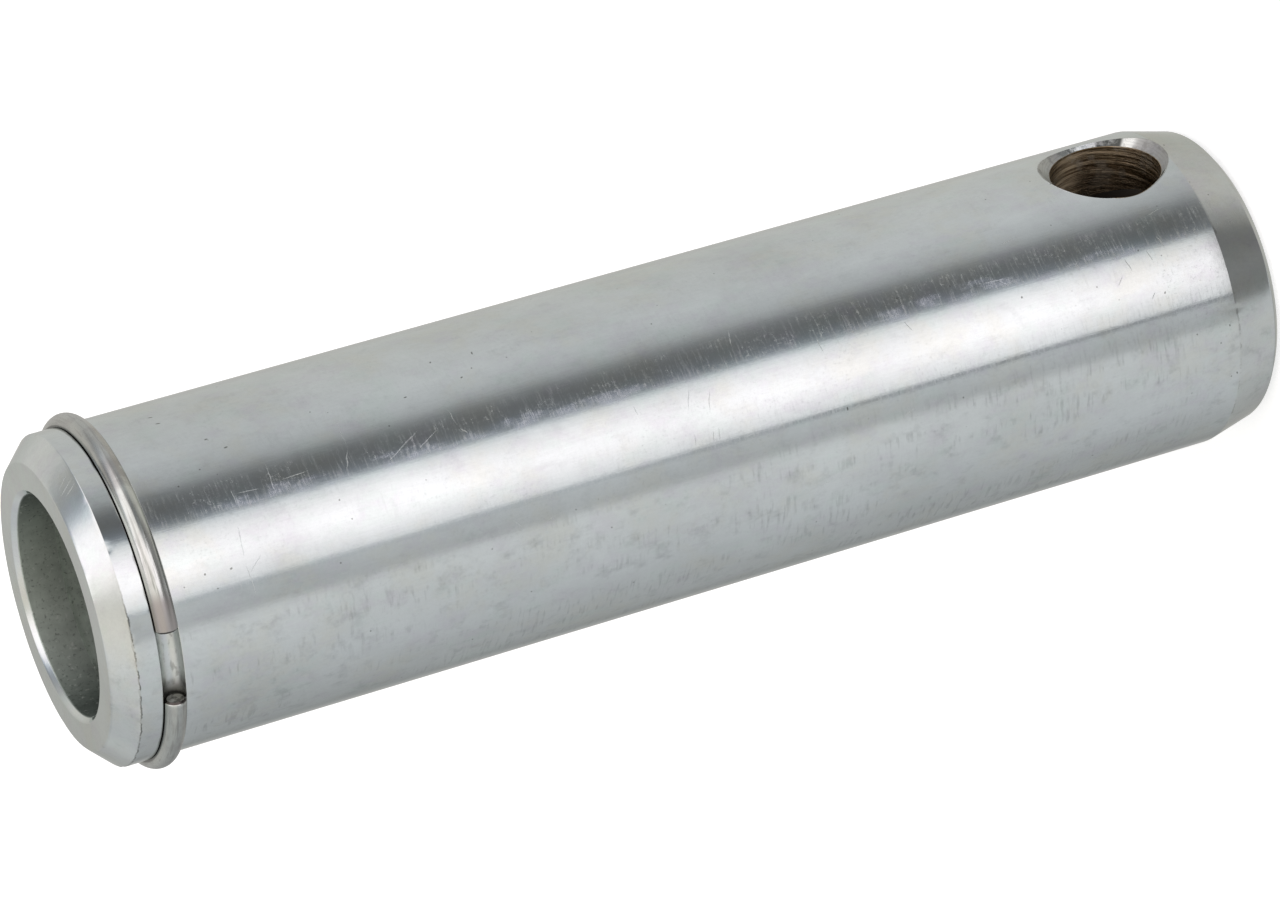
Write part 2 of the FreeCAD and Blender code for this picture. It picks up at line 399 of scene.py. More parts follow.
@dataclass
class Studio:
    """Soft light tent round the pin, with a pale floor under it.

    Each ring of light is a list of stops: degrees round the pin, how bright the plate shows it, out of
    255, and how warm it is, below 0 for bluish and above 0 for yellowish.
    """

    start: float = math.radians(125.0)
    mirror: float = 0.685
    low_ring: tuple[Stop, ...] = (
        (0, 162, 0.6), (11, 169, 0.6), (24, 166, 0.8), (34, 167, 0.8), (90, 177, 0.5), (104, 177, 0.5),
        (113, 174, 0.5), (121, 163, 0.3), (148, 109, 0.0), (160, 106, 0.0), (180, 115, 0.0),
        (203, 112, 0.0), (210, 121, -0.2), (215, 152, -0.4), (221, 175, -0.3), (235, 179, -0.2),
        (276, 171, -0.2), (301, 155, -0.1), (311, 151, 0.0), (340, 148, 0.4),
    )
    middle_ring: tuple[Stop, ...] = (
        (0, 165, 0.5), (18, 168, 0.4), (30, 177, 0.3), (98, 179, -0.3), (111, 168, -0.4),
        (118.5, 155, -0.4), (122.5, 141, -0.4), (126.5, 121, -0.5), (131, 104, -0.5), (136, 96, -0.5),
        (141, 97, -0.8), (145, 106, -1.3), (147.5, 118, -1.5), (149.8, 137, -1.3), (151.6, 174, -0.9),
        (153.5, 204, -0.5), (156, 218, -0.2), (160, 230, 0.0), (165, 242, 0.1), (171, 252, 0.1),
        (177, 256, 0.1), (183, 248, 0.1), (197.8, 213, -0.2), (198.8, 180, -0.8), (200.2, 165, -0.8),
        (202.5, 174, -0.5), (214, 164, -0.4), (217, 169, -0.3), (220.5, 186, -0.3), (226, 190, -0.3),
        (273, 171, -0.5), (297, 156, -0.4), (321, 147, -0.3), (333, 137, -0.2), (345, 151, 0.1),
    )
    high_ring: tuple[Stop, ...] = (
        (0, 166, 0.5), (24, 181, 0.4), (41, 186, 0.5), (51, 183, 0.3), (58, 175, 0.1), (64, 161, 0.0),
        (71, 150, -0.3), (77, 145, -0.9), (83, 151, -1.2), (88, 171, -1.4), (93, 207, -1.0),
        (98, 235, -0.1), (106, 250, 0.1), (120, 254, 0.2), (134, 252, 0.2), (148, 246, 0.4),
        (162, 236, 0.5), (196, 196, 0.7), (216, 192, 0.9), (242, 197, 0.9), (256, 197, 0.6),
        (269, 193, 0.1), (293, 182, -0.1), (303, 173, -0.3), (316, 170, -0.3), (330, 176, 0.0),
    )
    shade_line: Line = (199.8, 0.5, 1.3, 0.62)
    seam_top: tuple[float, float] = (-0.40, -0.32)
    shade_line_tone: Rgb = (0.05, 0.055, 0.07)
    ramp_stops: int = 28
    low_steps: tuple[float, float] = (-0.52, -0.445)
    high_steps: tuple[float, float] = (-0.16, 0.36)
    white_from: float = 195.0
    white_over: float = 50.0
    white_lift: float = 0.01
    white_rose: float = 0.04
    warm_red: float = 0.05
    warm_blue: float = 0.08
    floor_tone: float = 0.86
    floor_lift: float = 0.52
    floor_radius: float = 3.0
    floor_corners: int = 96

    def _colour(self, shown: float, warmth: float) -> Rgb:
        """Light that shows as a given brightness in the plate.

        Args:
            shown: The brightness, out of 255.
            warmth: How warm it is.

        Returns:
            The light's colour.
        """
        level = linear(shown / 255) / self.mirror
        white = min(1.0, max(0.0, (shown - self.white_from) / self.white_over))
        level *= 1 + self.white_lift * white
        red = level * (1 + self.warm_red * warmth)
        return red, level * (1 - self.white_rose * white), level * (1 - self.warm_blue * warmth)

    def _ring(self, bench: Bench, turn: Signal, stops: Sequence[Stop]) -> Signal:
        """Light of one ring, spread over as many ramps as its stops need.

        Args:
            bench: The world's bench.
            turn: Share of a full turn round the pin.
            stops: The ring's stops.

        Returns:
            The ring's colour.
        """
        closed = (*stops, (360, *stops[0][1:]))
        colours = [self._colour(shown, warmth) for _, shown, warmth in closed]
        brightest = max(max(colour) for colour in colours)
        shown = []
        for (degrees, _, _), colour in zip(closed, colours):
            shown.append((degrees / 360, tuple(part / brightest for part in colour)))
        light = None
        for start in range(0, len(shown) - 1, self.ramp_stops):
            part = shown[start:start + self.ramp_stops + 1]
            ramp = bench.add("ShaderNodeValToRGB", {"stops": part}, {"Fac": turn})
            if light is None:
                light = ramp
            else:
                past = bench.add("ShaderNodeMath", {"operation": "GREATER_THAN"}, {0: turn, 1: part[0][0]})
                light = bench.mix(past, light, ramp)
        return bench.vector("MULTIPLY", light, (brightest, brightest, brightest))

    def build_world(self) -> None:
        """Make the world: rings of soft light, and plain white where the camera looks past the pin."""
        world = bpy.data.worlds.new("light_tent")
        world.use_nodes = True
        bpy.context.scene.world = world
        bench = Bench(world.node_tree)
        x, y, z = bench.split(bench.add("ShaderNodeTexCoord", None, None, "Generated"))
        turn = ((self.start - bench.angle(y, x)) / FULL_TURN + 1.0).fraction()
        low = self._ring(bench, turn, self.low_ring)
        middle = self._ring(bench, turn, self.middle_ring)
        high = self._ring(bench, turn, self.high_ring)
        place, reach, edge, depth = self.shade_line
        shade_line = turn.near(place / 360, reach / 360, edge / 360) * z.falls(*self.seam_top) * depth
        middle = bench.mix(shade_line, middle, self.shade_line_tone)
        light = bench.mix(z.rises(*self.low_steps), low, middle)
        light = bench.mix(z.rises(*self.high_steps), light, high)
        tent = bench.add("ShaderNodeBackground", None, {"Color": light, "Strength": 1.0})
        white = bench.add("ShaderNodeBackground", None, {"Color": (1.0, 1.0, 1.0, 1.0), "Strength": 1.0})
        bench.add("ShaderNodeOutputWorld", None, {"Surface": bench.for_camera(tent, white)})

    def build_floor(self) -> bpy.types.Object:
        """Make the pale floor that the pin stands on.

        Returns:
            The floor.
        """
        radius = self.floor_radius
        corners = [(radius * x, radius * y, 0.0) for x, y in circle(self.floor_corners)]
        mesh = bpy.data.meshes.new("floor")
        mesh.from_pydata(corners, [], [tuple(range(self.floor_corners))])
        floor = bpy.data.objects.new("floor", mesh)
        bpy.context.scene.collection.objects.link(floor)
        material, bench = Bench.of_material("pale_floor")
        tone, lift = self.floor_tone, self.floor_lift
        matt = bench.add("ShaderNodeBsdfDiffuse", None, {"Color": (tone, tone, tone, 1.0)})
        glow = bench.add("ShaderNodeEmission", None, {"Color": (lift, lift, lift, 1.0), "Strength": 1.0})
        lifted = bench.add("ShaderNodeAddShader", None, {0: matt, 1: glow})
        bench.add("ShaderNodeOutputMaterial", None, {"Surface": bench.for_camera(matt, lifted)})
        mesh.materials.append(material)
        floor.visible_glossy = False
        return floor


@dataclass(frozen=True)
class Corner:
    """One corner of a turned outline, in millimetres.

    Attributes:
        radius: Distance from the axis.
        height: Height along the axis.
        ease: Radius that the corner is rounded to.
        step: Longest row on the straight that leaves it.
    """

    radius: float
    height: float
    ease: float = 0.0
    step: float = 1.0


def eased_outline(corners: Sequence[Corner], rows: int = 4) -> list[tuple[float, float]]:
    """Round the corners of a closed outline and divide its straights.

    Args:
        corners: The corners in order.
        rows: Rows across each rounded corner.

    Returns:
        Points of the outline.
    """
    count = len(corners)
    entries = []
    for index, corner in enumerate(corners):
        here = Vector((corner.radius, corner.height))
        before = Vector((corners[index - 1].radius, corners[index - 1].height))
        after = Vector((corners[(index + 1) % count].radius, corners[(index + 1) % count].height))
        back = (before - here).normalized()
        ahead = (after - here).normalized()
        turn = math.pi - back.angle(ahead)
        if corner.ease == 0.0 or turn < 1e-6:
            entries.append([here])
            continue
        reach = corner.ease * math.tan(turn / 2)
        middle = here + (back + ahead).normalized() * (corner.ease / math.cos(turn / 2))
        first = here + back * reach - middle
        last = here + ahead * reach - middle
        arc = []
        for row in range(rows + 1):
            share = row / rows
            weight_first = math.sin((1 - share) * turn) / math.sin(turn)
            weight_last = math.sin(share * turn) / math.sin(turn)
            arc.append(middle + first * weight_first + last * weight_last)
        entries.append(arc)
    points = []
    for index, arc in enumerate(entries):
        points.extend(tuple(point) for point in arc)
        start = arc[-1]
        end = entries[(index + 1) % count][0]
        pieces = max(1, math.ceil((end - start).length / corners[index].step))
        for piece in range(1, pieces):
            points.append(tuple(start.lerp(end, piece / pieces)))
    return points


def mesh_object(name: str, points: np.ndarray, faces: list[tuple[int, ...]]) -> bpy.types.Object:
    """Make an object of points in millimetres.

    Args:
        name: The object's name.
        points: Its points.
        faces: Point numbers of each face.

    Returns:
        The object, linked into the scene.
    """
    mesh = bpy.data.meshes.new(name)
    mesh.from_pydata((points * MM).tolist(), [], faces)
    mesh.update()
    item = bpy.data.objects.new(name, mesh)
    bpy.context.scene.collection.objects.link(item)
    return item


def ring_faces(rings: int, around: int, closed: bool) -> list[tuple[int, ...]]:
    """Faces between rings of points.

    Args:
        rings: Rings, one after the other.
        around: Points in each ring.
        closed: Whether the last ring joins the first.

    Returns:
        Four-sided faces.
    """
    faces = []
    for ring in range(rings if closed else rings - 1):
        base = ring * around
        following = ((ring + 1) % rings) * around
        for place in range(around):
            beside = (place + 1) % around
            faces.append((base + place, base + beside, following + beside, following + place))
    return faces


def closed_tube(name: str, points: list[tuple[float, ...]], around: int) -> bpy.types.Object:
    """Make a tube of rings of points, closed at both ends.

    Args:
        name: The object's name.
        points: Points of one ring after the other.
        around: Points in each ring.

    Returns:
        The tube.
    """
    faces = ring_faces(len(points) // around, around, False)
    faces.append(tuple(reversed(range(around))))
    faces.append(tuple(range(len(points) - around, len(points))))
    return mesh_object(name, np.array(points), faces)


def face_outwards(item: bpy.types.Object) -> None:
    """Turn a closed mesh inside out if its faces look inwards."""
    mesh = item.data
    mesh.calc_loop_triangles()
    corners = np.array([vertex.co[:] for vertex in mesh.vertices])
    triangles = np.array([triangle.vertices[:] for triangle in mesh.loop_triangles])
    first, second, third = (corners[triangles[:, place]] for place in range(3))
    if np.einsum("ij,ij->", first, np.cross(second, third)) < 0.0:
        mesh.flip_normals()


def smooth(item: bpy.types.Object, sharp_over: float) -> None:
    """Shade an object smooth, apart from its sharp edges.

    Args:
        item: The object.
        sharp_over: Angle in degrees above which an edge stays sharp.
    """
    mesh = item.data
    mesh.polygons.foreach_set("use_smooth", [True] * len(mesh.polygons))
    mesh.set_sharp_from_angle(angle=math.radians(sharp_over))


@dataclass(frozen=True)
class Dent:
    """A small knock, by degrees round the pin, height, size and depth in millimetres."""

    turn: float
    height: float
    size: float
    depth: float


@dataclass
class PinBody:
    """The turned, grooved and cross-drilled tube, in millimetres."""

    shank_radius: float = 15.0
    bore_radius: float = 10.0
    length: float = 115.0
    end_chamfer: float = 2.0
    bore_chamfer: float = 0.5
    lead_in: float = 5.1
    lead_in_angle: float = math.radians(14.0)
    nose: float = 0.8
    groove_radius: float = 1.05
    groove_middle: float = 15.05
    groove_height: float = 109.9
    hole_radius: float = 5.1
    hole_height: float = 10.85
    sink_radius: float = 6.15
    sink_wander: float = 0.3
    sink_rise: float = 0.15
    around: int = 384
    groove_rows: int = 14
    unevenness: float = 0.008
    cutter_points: int = 192
    drill_reach: float = 20.0
    scored: tuple[float, float] = (8.0, 15.2)
    score_step: float = 0.11
    plain_step: float = 1.0
    scores: tuple[tuple[float, float, float], ...] = ((0.030, 2.3, 3.1), (0.016, 6.1, 9.7))
    drill_waver: float = 0.010
    sink_rows: int = 40
    sink_depth: float = 2.5
    sink_over: float = 2.0
    sink_chatter: float = 0.012
    dents: tuple[Dent, ...] = (
        Dent(50.0, 114.2, 0.5, 0.12),
        Dent(20.0, 114.1, 0.4, 0.08),
        Dent(-42.0, 113.1, 0.4, 0.07),
        Dent(-98.0, 113.0, 0.6, 0.10),
        Dent(-92.0, 6.0, 0.5, 0.05),
        Dent(-70.0, 5.2, 0.4, 0.05),
    )

    @property
    def groove_half(self) -> float:
        """Half of the groove's width at the shank's surface."""
        return math.sqrt(self.groove_radius ** 2 - (self.groove_middle - self.shank_radius) ** 2)

    def outline(self) -> list[tuple[float, float]]:
        """Section of the tube, from the bore's lower mouth round the outside and back down the bore."""
        shank, bore, top = self.shank_radius, self.bore_radius, self.length
        foot = shank - self.lead_in * math.tan(self.lead_in_angle)
        half = self.groove_half
        groove = []
        first = math.atan2(-half, shank - self.groove_middle)
        last = math.atan2(half, shank - self.groove_middle) - FULL_TURN
        for row in range(1, self.groove_rows):
            angle = first + (last - first) * row / self.groove_rows
            groove.append(Corner(
                self.groove_middle + self.groove_radius * math.cos(angle),
                self.groove_height + self.groove_radius * math.sin(angle),
            ))
        corners = [
            Corner(bore + self.bore_chamfer, 0.0, 0.06, 0.8),
            Corner(foot - self.nose, 0.0, 0.25, 0.4),
            Corner(
                foot + self.nose * math.sin(self.lead_in_angle),
                self.nose * math.cos(self.lead_in_angle),
                0.5,
                0.7,
            ),
            Corner(shank, self.lead_in, 1.0, 1.5),
            Corner(shank, self.groove_height - half, 0.06, 1.0),
            *groove,
            Corner(shank, self.groove_height + half, 0.06, 0.3),
            Corner(shank, top - self.end_chamfer, 0.12, 0.3),
            Corner(shank - self.end_chamfer, top, 0.12, 0.6),
            Corner(bore + self.bore_chamfer, top, 0.06, 0.3),
            Corner(bore, top - self.bore_chamfer, 0.06, 3.0),
            Corner(bore, self.bore_chamfer, 0.06, 0.3),
        ]
        return eased_outline(corners)

    def _knocks(self, points: np.ndarray) -> np.ndarray:
        """Push the dents in, wear the sharp rims and add the drawn tube's slight unevenness.

        Args:
            points: Points of the true form.

        Returns:
            The worn points.
        """
        worn = points.copy()
        reach = np.hypot(points[:, 0], points[:, 1])
        turn = np.arctan2(points[:, 1], points[:, 0])
        outside = reach > self.bore_radius + 1.0
        for dent in self.dents:
            across = (turn - math.radians(dent.turn)) * reach
            up = points[:, 2] - dent.height
            depth = dent.depth * np.exp(-(across ** 2 + up ** 2) / (0.5 * dent.size ** 2))
            shrink = np.where(outside, 1.0 - depth / reach, 1.0)
            worn[:, 0] *= shrink
            worn[:, 1] *= shrink
        for index in np.nonzero(outside)[0]:
            x, y, z = points[index]
            wave = noise.noise(Vector((x * 0.12, y * 0.12, z * 0.06)))
            wave += 0.4 * noise.noise(Vector((x * 0.3 + 7.0, y * 0.3, z * 0.15)))
            push = self.unevenness * wave
            push -= self._rim_wear(Vector((x, y, z)), float(reach[index]))
            worn[index, 0] *= 1.0 + push / reach[index]
            worn[index, 1] *= 1.0 + push / reach[index]
        return worn

    def _rim_wear(self, point: Vector, reach: float) -> float:
        """How far a point near one of the sharp rims is worn in, in uneven nicks.

        Args:
            point: The point.
            reach: Its distance from the axis.

        Returns:
            Millimetres.
        """
        rims = (
            (self.shank_radius, self.length - self.end_chamfer, 0.45, 0.08),
            (self.shank_radius - self.end_chamfer, self.length, 0.35, 0.06),
            (self.shank_radius, self.groove_height + self.groove_half, 0.15, 0.04),
            (self.shank_radius, self.lead_in, 0.8, 0.012),
        )
        worn = 0.0
        for radius, height, span, depth in rims:
            away = math.hypot(reach - radius, point.z - height)
            if away < span:
                nick = noise.noise(point * 0.5) + 0.5 * noise.noise(point * 1.4)
                worn += depth * max(0.0, nick) * (1.0 - away / span)
        return worn

    def _hole_cutter(self) -> bpy.types.Object:
        """Drill for the cross hole, scored as the real one left its wall."""
        first, last = self.scored
        points = []
        x = -self.drill_reach
        while x <= self.drill_reach:
            score = 0.0
            for depth, rate, start in self.scores:
                score += depth * noise.noise(Vector((x * rate, start, 0.0)))
            for across, up in circle(self.cutter_points):
                waver = self.drill_waver * noise.noise(Vector((x * 3.0, across, up)))
                radius = self.hole_radius + score + waver
                points.append((x, radius * across, self.hole_height + radius * up))
            x += self.score_step if first < abs(x) < last else self.plain_step
        return closed_tube("drill", points, self.cutter_points)

    def _sink_cutter(self, side: int) -> bpy.types.Object:
        """Cone that breaks one mouth of the cross hole.

        Args:
            side: 1 for the +X mouth, -1 for the other.

        Returns:
            The cutter.
        """
        near = self.shank_radius - self.sink_radius + self.sink_depth
        far = self.shank_radius + self.sink_over
        points = []
        for row in range(self.sink_rows + 1):
            x = near + (far - near) * row / self.sink_rows
            plain = self.sink_radius + x - self.shank_radius
            for across, up in circle(self.cutter_points):
                chatter = self.sink_chatter * noise.noise(Vector((x * 4.0, 2.5 * across, 2.5 * up)))
                radius = plain + chatter
                y = self.sink_wander + radius * across
                points.append((side * x, y, self.hole_height + self.sink_rise + radius * up))
        return closed_tube("countersink", points, self.cutter_points)

    def build(self) -> bpy.types.Object:
        """Turn the tube, knock it about and drill it.

        Returns:
            The finished body.
        """
        outline = self.outline()
        rings = []
        for radius, height in outline:
            rings.extend((radius * x, radius * y, height) for x, y in circle(self.around))
        points = self._knocks(np.array(rings))
        blank = mesh_object("tube_blank", points, ring_faces(len(outline), self.around, True))
        cutters = [self._hole_cutter(), self._sink_cutter(1), self._sink_cutter(-1)]
        for item in (blank, *cutters):
            face_outwards(item)
        for cutter in cutters:
            cut = blank.modifiers.new(cutter.name, "BOOLEAN")
            cut.operation = "DIFFERENCE"
            cut.solver = "EXACT"
            cut.object = cutter
        bpy.context.view_layer.update()
        ready = blank.evaluated_get(bpy.context.evaluated_depsgraph_get())
        mesh = bpy.data.meshes.new_from_object(ready)
        mesh.name = "turned_tube"
        for item in (blank, *cutters):
            old = item.data
            bpy.data.objects.remove(item)
            bpy.data.meshes.remove(old)
        body = bpy.data.objects.new("turned_tube", mesh)
        bpy.context.scene.collection.objects.link(body)
        smooth(body, 30.0)
        return body


@dataclass
class SnapRing:
    """The open ring of round spring wire, in millimetres."""

    wire_radius: float = 1.0
    bend_radius: float = 15.03
    height: float = 109.88
    gap_middle: float = -85.6
    gap: float = 25.5
    end_break: float = 0.2
    lean: float = 0.24
    lean_reach: float = 0.14
    insets: tuple[float, float] = (0.66, 0.33)
    cut_hollow: float = 0.03
    cut_rough: float = 0.05
    along: int = 700
    around: int = 40

    def _point(self, angle: float, radius: float, place: int, lean: float) -> tuple[float, float, float]:
        """One point of the wire.

        Args:
            angle: Where its section lies round the ring.
            radius: Its distance from the wire's middle line.
            place: Its number round the section.
            lean: How far the section leans, as a slope.

        Returns:
            The point.
        """
        side = FULL_TURN * place / self.around
        out = radius * math.cos(side)
        turn = angle + lean * out / self.bend_radius
        reach = self.bend_radius + out
        return reach * math.cos(turn), reach * math.sin(turn), self.height + radius * math.sin(side)

    def build(self) -> bpy.types.Object:
        """Bend the wire and close its two cut ends.

        Returns:
            The ring.
        """
        first = math.radians(self.gap_middle + self.gap / 2)
        sweep = math.radians(360.0 - self.gap)
        break_angle = self.end_break / self.bend_radius
        ends = [(break_angle * share, 1.0 - self.end_break * (1.0 - share)) for share in (0.0, 0.4, 0.8)]
        stations = [(first + angle, size) for angle, size in ends]
        inner = sweep - 2 * break_angle
        for step in range(self.along + 1):
            stations.append((first + break_angle + inner * step / self.along, 1.0))
        last = first + sweep
        stations.extend((last - angle, size) for angle, size in reversed(ends))
        points = []
        for angle, share in stations:
            lean = self.lean * max(0.0, 1.0 - (last - angle) / self.lean_reach)
            for place in range(self.around):
                points.append(self._point(angle, share * self.wire_radius, place, lean))
        faces = ring_faces(len(stations), self.around, False)
        for end, start, push in ((0, 0, -1), (1, (len(stations) - 1) * self.around, 1)):
            angle = stations[-1 if end else 0][0]
            rim = list(range(start, start + self.around))
            share = stations[0][1] * self.wire_radius
            for inset in self.insets:
                radius = share * inset
                inner_rim = []
                for place, (out, up) in enumerate(circle(self.around)):
                    spot = Vector((radius * out, radius * up, 5.0 * end))
                    hollow = self.cut_hollow + self.cut_rough * noise.noise(spot * 2.0)
                    turn = angle - push * hollow / self.bend_radius
                    inner_rim.append(len(points))
                    points.append(self._point(turn, radius, place, self.lean * end))
                for place in range(self.around):
                    beside = (place + 1) % self.around
                    quad = (rim[place], rim[beside], inner_rim[beside], inner_rim[place])
                    faces.append(quad if end else tuple(reversed(quad)))
                rim = inner_rim
            faces.append(tuple(rim) if end else tuple(reversed(rim)))
        ring = mesh_object("sprung_wire", np.array(points), faces)
        face_outwards(ring)
        smooth(ring, 35.0)
        return ring


@dataclass(frozen=True)
class Spot:
    """Where on the pin a shader works, in millimetres.

    Attributes:
        bench: The material's bench.
        point: The point itself.
        x: Its distance along the cross hole.
        y: Its distance across.
        z: Its height.
        reach: Its distance from the axis.
        turn: Its direction round the axis, in radians.
        across: Its distance round the piece from the middle of the photographed side, a little uneven.
        flat: That distance and the height.
    """

    bench: Bench
    point: Signal
    x: Signal
    y: Signal
    z: Signal
    reach: Signal
    turn: Signal
    across: Signal
    flat: Signal

    @classmethod
    def on(cls, bench: Bench, radius: float) -> "Spot":
        """Read the point that is being shaded.

        Args:
            bench: The material's bench.
            radius: Radius of the piece.

        Returns:
            The point in each of its forms.
        """
        point = bench.add("ShaderNodeTexCoord", None, None, "Object")
        point = bench.vector("MULTIPLY", point, (1 / MM, 1 / MM, 1 / MM))
        x, y, z = bench.split(point)
        reach = bench.length(bench.combine(x, y, 0.0))
        turn = bench.angle(y, x)
        waver = bench.noise(point, 1.1, 1.0) - 0.5
        across = (turn - PHOTO_SIDE) * radius + waver * 0.12
        flat = bench.combine(across, z + waver * 0.22, 0.0)
        return cls(bench, point, x, y, z, reach, turn, across, flat)

    def noise(
        self,
        across: float,
        along: float,
        detail: float,
        rough: float,
        shift: Sequence[float] = (0.0, 0.0, 0.0),
    ) -> Signal:
        """Cloudy noise with scales of its own across the pin and along it.

        Args:
            across: Clouds to the millimetre across the pin.
            along: Clouds to the millimetre along it.
            detail: Octaves of finer noise.
            rough: Strength of the finer octaves.
            shift: Where in the noise it starts.

        Returns:
            The noise's value, from 0 to 1.
        """
        where = self.bench.vector("MULTIPLY", self.point, (across, across, along))
        return self.bench.noise(self.bench.vector("ADD", where, shift), 1.0, detail, rough)

    def marks(self, lines: Sequence[tuple[float, ...]], width: float) -> Signal:
        """Fine marks drawn from point to point on the unrolled shank.

        Args:
            lines: Ends of each mark, as distance round and height, then distance round and height.
            width: Half of each mark's width.

        Returns:
            1 in the middle of a mark, 0 beside it.
        """
        total = None
        for first_across, first_up, last_across, last_up in lines:
            across = last_across - first_across
            up = last_up - first_up
            inputs = {
                "Vector": self.flat,
                "Location": ((first_across + last_across) / 2, (first_up + last_up) / 2, 0.0),
                "Rotation": (0.0, 0.0, math.atan2(up, across)),
                "Scale": (math.hypot(across, up) / 2 + width, width, 1.0),
            }
            mapped = self.bench.add("ShaderNodeMapping", {"vector_type": "TEXTURE"}, inputs)
            settings = {"gradient_type": "SPHERICAL"}
            ball = self.bench.add("ShaderNodeTexGradient", settings, {"Vector": mapped}, "Fac")
            total = ball if total is None else total.larger(ball)
        return total.rises(0.0, 0.5)


